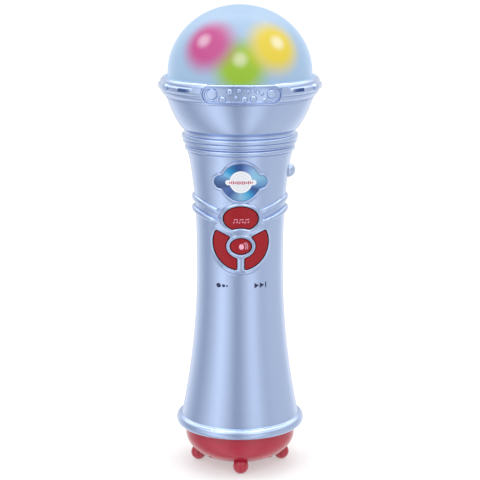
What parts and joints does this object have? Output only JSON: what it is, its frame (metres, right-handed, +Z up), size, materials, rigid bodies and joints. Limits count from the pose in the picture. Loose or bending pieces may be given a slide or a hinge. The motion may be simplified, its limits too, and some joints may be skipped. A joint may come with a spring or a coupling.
{
  "type": "toy microphone",
  "caption": "Toy microphone that stands on its base: waisted metallic grip, translucent light dome, ornamented collar, red sound buttons, ball side button and red speaker base on ball feet.",
  "frame": {"origin": "on the ground under the grip's axis, where the flats of the four ball feet rest", "axes": "+Z up along the grip's axis to the dome, -Y towards the front with the badge and the buttons, +X towards the ball side button"},
  "size_m": [0.083, 0.0848, 0.24],
  "materials": {
    "grip_paint": "pale blue-silver metallic paint on moulded plastic, satin gloss",
    "dome_plastic": "milky translucent pale blue plastic, glossy",
    "white_plastic": "white reflector plastic",
    "green_lamp": "green diffused lamp",
    "yellow_lamp": "yellow diffused lamp",
    "pink_lamp": "pink diffused lamp",
    "circuit_board": "green circuit board",
    "black_plastic": "black moulded plastic",
    "black_rubber": "soft black rubber",
    "pad_rubber": "grey-white silicone rubber",
    "badge_foil": "printed blue metallic foil with a white disc",
    "red_plastic": "glossy red plastic",
    "pearl_plastic": "pearly silver plastic",
    "screw_steel": "zinc-plated steel",
    "contact_metal": "nickel-plated steel",
    "cell_metal": "printed metal cell jacket",
    "magnet_iron": "dark ferrite",
    "cone_paper": "pressed paper cone",
    "wire_plastic": "plastic-covered wire"
  },
  "bodies": {
    "body": {"front_shell": "grip_paint", "rear_shell": "grip_paint", "collar": "grip_paint", "dome": "dome_plastic", "light_tray": "white_plastic", "lamp_board": "circuit_board", "green_lamp": "green_lamp", "yellow_lamp": "yellow_lamp", "pink_lamp": "pink_lamp", "tray_screws": "screw_steel", "microphone_capsule": "contact_metal", "microphone_sleeve": "black_rubber", "badge_plate": "badge_foil", "key_pad": "pad_rubber", "main_board": "circuit_board", "sound_chip": "black_plastic", "capacitors": "black_plastic", "board_screws": "screw_steel", "side_switch": "black_plastic", "battery_box": "black_plastic", "battery_cells": "cell_metal", "battery_springs": "contact_metal", "battery_contacts": "contact_metal", "shell_screws": "screw_steel", "base_cup": "red_plastic", "ball_feet": "red_plastic", "base_screws": "screw_steel", "speaker_gasket": "black_rubber", "speaker_basket": "contact_metal", "speaker_magnet": "magnet_iron", "speaker_cone": "cone_paper", "speaker_wires": "wire_plastic", "battery_wires": "wire_plastic", "lamp_wires": "wire_plastic", "sensor_wires": "wire_plastic"},
    "demo_button": {"demo_button": "red_plastic"},
    "record_button": {"record_button": "red_plastic"},
    "play_button": {"play_button": "red_plastic"},
    "rhythm_button": {"rhythm_button": "red_plastic"},
    "side_button": {"side_button": "pearl_plastic"},
    "battery_door": {"battery_door": "grip_paint", "door_screw": "screw_steel"}
  },
  "joints": [
    {"name": "demo_button_press", "type": "slide", "parent": "body", "child": "demo_button", "axis": [0, 1, 0], "range_m": [0, 0.0012], "stiffness_N_per_m": 180, "springref_m": -0.0004},
    {"name": "record_button_press", "type": "slide", "parent": "body", "child": "record_button", "axis": [0, 1, 0], "range_m": [0, 0.0012], "stiffness_N_per_m": 180, "springref_m": -0.0004},
    {"name": "play_button_press", "type": "slide", "parent": "body", "child": "play_button", "axis": [0, 1, 0], "range_m": [0, 0.0012], "stiffness_N_per_m": 180, "springref_m": -0.0004},
    {"name": "rhythm_button_press", "type": "slide", "parent": "body", "child": "rhythm_button", "axis": [0, 1, 0], "range_m": [0, 0.0012], "stiffness_N_per_m": 180, "springref_m": -0.0004},
    {"name": "side_button_press", "type": "slide", "parent": "body", "child": "side_button", "axis": [-1, 0, 0], "range_m": [0, 0.0012], "stiffness_N_per_m": 180, "springref_m": -0.0004},
    {"name": "battery_door_tilt", "type": "hinge", "parent": "body", "child": "battery_door", "pos_m": [0, 0.02695, 0.047], "axis": [-1, 0, 0], "range_deg": [0, 50]}
  ]
}
